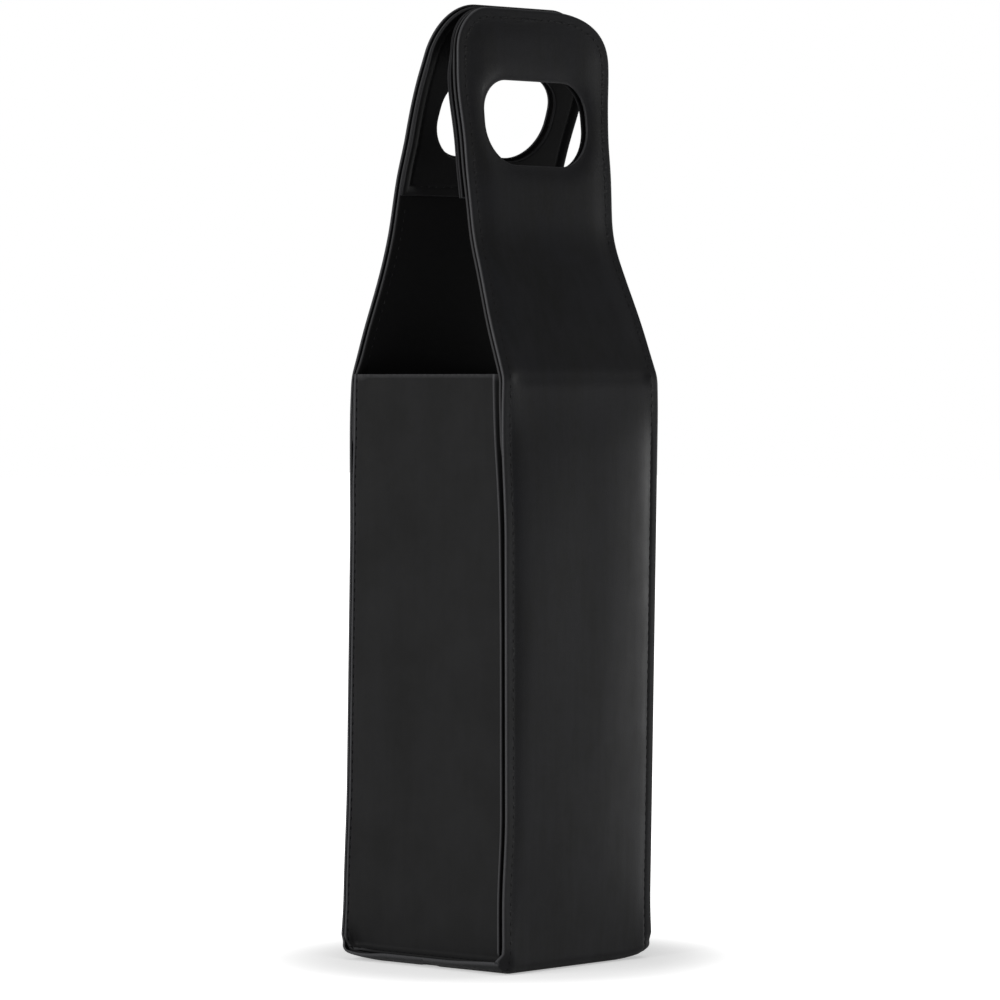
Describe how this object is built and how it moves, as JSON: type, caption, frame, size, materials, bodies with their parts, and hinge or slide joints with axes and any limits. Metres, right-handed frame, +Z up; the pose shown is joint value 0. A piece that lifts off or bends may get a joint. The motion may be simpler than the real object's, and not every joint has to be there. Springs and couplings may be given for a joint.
{
  "type": "bottle carrier",
  "caption": "Tall square leatherette carrier for one wine bottle, open at the top, with two leaning board-stiffened flaps whose hand holes form the handle.",
  "frame": {"origin": "middle of the base, on the ground", "axes": "+Z up through the open top; -Y out of the front panel; +X to the front panel's right, seen from behind it, so the left gusset faces -X"},
  "size_m": [0.092, 0.0926, 0.3999],
  "materials": {
    "leatherette": "semi-matte fine-grained black leatherette",
    "facing_leatherette": "semi-matte black leatherette, inner face",
    "lining_fabric": "matte black woven lining",
    "greyboard": "raw grey fibreboard, hidden inside",
    "thread": "black sewing thread with a slight sheen"
  },
  "bodies": {
    "carrier": {"outer_wrap": "leatherette", "wrap_lining": "lining_fabric", "front_board": "greyboard", "base_board": "greyboard", "back_board": "greyboard", "left_gusset": "leatherette", "left_gusset_board": "greyboard", "left_gusset_lining": "lining_fabric", "left_seam_stitches": "thread", "right_gusset": "leatherette", "right_gusset_board": "greyboard", "right_gusset_lining": "lining_fabric", "right_seam_stitches": "thread"},
    "front_flap": {"front_flap_skin": "leatherette", "front_flap_board": "greyboard", "front_flap_lining": "lining_fabric", "front_handle_facing": "facing_leatherette", "front_flap_stitches": "thread"},
    "back_flap": {"back_flap_skin": "leatherette", "back_flap_board": "greyboard", "back_flap_lining": "lining_fabric", "back_handle_facing": "facing_leatherette", "back_flap_stitches": "thread"}
  },
  "joints": [
    {"name": "front_flap_hinge", "type": "hinge", "parent": "carrier", "child": "front_flap", "pos_m": [0, -0.046, 0.246], "axis": [1, 0, 0], "range_deg": [-0.8, 75], "stiffness_Nm_per_rad": 0.2, "springref_deg": 2.01},
    {"name": "back_flap_hinge", "type": "hinge", "parent": "carrier", "child": "back_flap", "pos_m": [0, 0.046, 0.246], "axis": [-1, 0, 0], "range_deg": [-0.8, 75], "stiffness_Nm_per_rad": 0.2, "springref_deg": 2.69}
  ]
}
